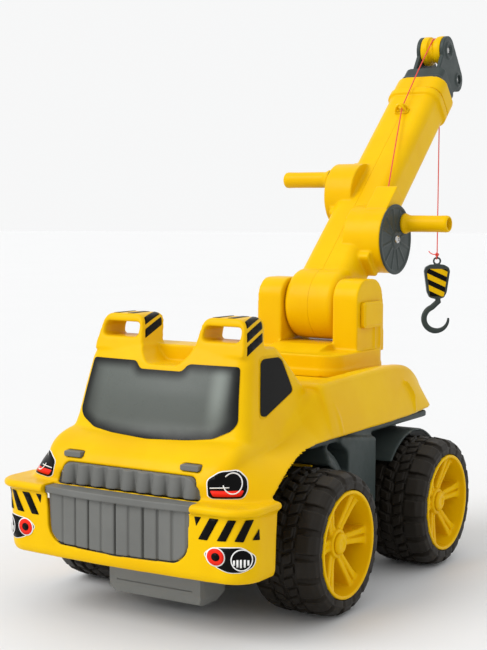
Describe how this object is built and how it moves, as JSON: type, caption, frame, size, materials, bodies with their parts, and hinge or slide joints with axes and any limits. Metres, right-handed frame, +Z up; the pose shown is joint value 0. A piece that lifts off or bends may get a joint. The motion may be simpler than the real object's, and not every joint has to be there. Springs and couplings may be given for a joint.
{
  "type": "toy crane truck",
  "caption": "Toy truck with a slewing, tilting and telescoping crane, a cord winch with a hanging hook, hand cranks and free-rolling wheels.",
  "frame": {"origin": "the floor under the middle of the model's box, with the cord and hook left out", "axes": "+Z up, -Y towards the front of the truck, +X towards its left side"},
  "size_m": [0.3578, 0.8494, 0.6985],
  "materials": {
    "body_yellow": "satin moulded plastic",
    "wheel_yellow": "satin moulded plastic",
    "hub_cap_yellow": "satin moulded plastic",
    "dark_grey": "satin moulded plastic",
    "mid_grey": "satin moulded plastic",
    "tyre": "matte blow-moulded",
    "steel": "zinc plated",
    "windshield": "printed grey panel",
    "side_window": "printed black panel",
    "cord": "braided red cord"
  },
  "bodies": {
    "truck": {"body_shell": "body_yellow", "chassis": "dark_grey", "front_step": "mid_grey", "grille_lower": "mid_grey", "grille_upper": "mid_grey", "indicator_left": "mid_grey", "indicator_right": "mid_grey", "windshield": "windshield", "side_window_left": "side_window", "side_window_right": "side_window", "front_axle": "steel", "rear_axle": "steel", "body_screw_1": "steel", "body_screw_2": "steel"},
    "front_left_wheel": {"front_left_tyre": "tyre", "front_left_rim": "wheel_yellow", "front_left_hub_cap": "hub_cap_yellow"},
    "front_right_wheel": {"front_right_tyre": "tyre", "front_right_rim": "wheel_yellow", "front_right_hub_cap": "hub_cap_yellow"},
    "rear_left_wheel": {"rear_left_tyre": "tyre", "rear_left_rim": "wheel_yellow", "rear_left_hub_cap": "hub_cap_yellow"},
    "rear_right_wheel": {"rear_right_tyre": "tyre", "rear_right_rim": "wheel_yellow", "rear_right_hub_cap": "hub_cap_yellow"},
    "crane_base": {"crane_base": "body_yellow", "slew_retainer": "dark_grey", "slew_screw": "steel", "boom_pivot_pin": "steel", "pivot_cover_left": "body_yellow", "pivot_cover_right": "body_yellow"},
    "boom": {"boom_left_half": "body_yellow", "boom_right_half": "body_yellow", "cord_guide": "body_yellow", "cord_run": "cord"},
    "winch": {"winch_drum": "mid_grey", "winch_disc": "dark_grey", "winch_screw": "steel", "cord_winding": "cord"},
    "winch_handle": {"winch_handle": "body_yellow"},
    "telescope_crank": {"telescope_pinion": "mid_grey", "telescope_disc": "dark_grey", "telescope_screw": "steel"},
    "telescope_handle": {"telescope_handle": "body_yellow"},
    "inner_boom": {"inner_boom": "body_yellow", "telescope_rack": "mid_grey", "boom_head": "dark_grey", "lower_head_pin": "steel", "sheave_pin": "steel", "cord_over_sheave": "cord"},
    "sheave": {"sheave": "body_yellow"},
    "fall_line": {"cord_fall": "cord"},
    "hook_line": {"cord_knot": "cord"},
    "hook": {"hook": "dark_grey", "hook_stripes_front": "body_yellow", "hook_stripes_rear": "body_yellow"}
  },
  "joints": [
    {"name": "front_left_wheel_spin", "type": "hinge", "parent": "truck", "child": "front_left_wheel", "pos_m": [0.1379, -0.23769, 0.079], "axis": [1, 0, 0], "continuous": true},
    {"name": "front_right_wheel_spin", "type": "hinge", "parent": "truck", "child": "front_right_wheel", "pos_m": [-0.1379, -0.23769, 0.079], "axis": [1, 0, 0], "continuous": true},
    {"name": "rear_left_wheel_spin", "type": "hinge", "parent": "truck", "child": "rear_left_wheel", "pos_m": [0.1379, 0.02671, 0.079], "axis": [1, 0, 0], "continuous": true},
    {"name": "rear_right_wheel_spin", "type": "hinge", "parent": "truck", "child": "rear_right_wheel", "pos_m": [-0.1379, 0.02671, 0.079], "axis": [1, 0, 0], "continuous": true},
    {"name": "crane_slew", "type": "hinge", "parent": "truck", "child": "crane_base", "pos_m": [0, -0.01119, 0.24], "axis": [0, 0, 1], "continuous": true},
    {"name": "boom_pitch", "type": "hinge", "parent": "crane_base", "child": "boom", "pos_m": [0, 0.03121, 0.3192], "axis": [-1, 0, 0], "range_deg": [-20, 18]},
    {"name": "telescope_turn", "type": "hinge", "parent": "boom", "child": "telescope_crank", "pos_m": [0, 0.16659, 0.45994], "axis": [1, 0, 0], "range_deg": [0, 572]},
    {"name": "telescope_handle_spin", "type": "hinge", "parent": "telescope_crank", "child": "telescope_handle", "pos_m": [-0.0876, 0.14586, 0.48218], "axis": [1, 0, 0], "continuous": true},
    {"name": "boom_extend", "type": "slide", "parent": "boom", "child": "inner_boom", "axis": [0, 0.7314, 0.682], "range_m": [0, 0.12]},
    {"name": "winch_turn", "type": "hinge", "parent": "boom", "child": "winch", "pos_m": [0, 0.10486, 0.40238], "axis": [-1, 0, 0], "range_deg": [-294, 313]},
    {"name": "winch_handle_spin", "type": "hinge", "parent": "winch", "child": "winch_handle", "pos_m": [0.1, 0.1271, 0.42311], "axis": [1, 0, 0], "continuous": true},
    {"name": "sheave_spin", "type": "hinge", "parent": "inner_boom", "child": "sheave", "pos_m": [0, 0.37094, 0.67702], "axis": [-1, 0, 0], "range_deg": [-515, 545]},
    {"name": "line_plumb", "type": "hinge", "parent": "inner_boom", "child": "fall_line", "pos_m": [0, 0.38904, 0.67702], "axis": [1, 0, 0], "range_deg": [-22, 20]},
    {"name": "hoist", "type": "slide", "parent": "fall_line", "child": "hook_line", "axis": [0, 0, 1], "range_m": [-0.17, 0.16], "deforming": ["cord_fall"]},
    {"name": "hook_turn", "type": "hinge", "parent": "hook_line", "child": "hook", "pos_m": [0, 0.38904, 0.36472], "axis": [0, 0, 1], "continuous": true}
  ],
  "couplings": [
    {"joint": "boom_extend", "follows": "telescope_turn", "m_per_rad": 0.012},
    {"joint": "hoist", "follows": "winch_turn", "m_per_rad": -0.0311},
    {"joint": "sheave_spin", "follows": "winch_turn", "ratio": 1.718},
    {"joint": "line_plumb", "follows": "boom_pitch", "ratio": 1}
  ]
}
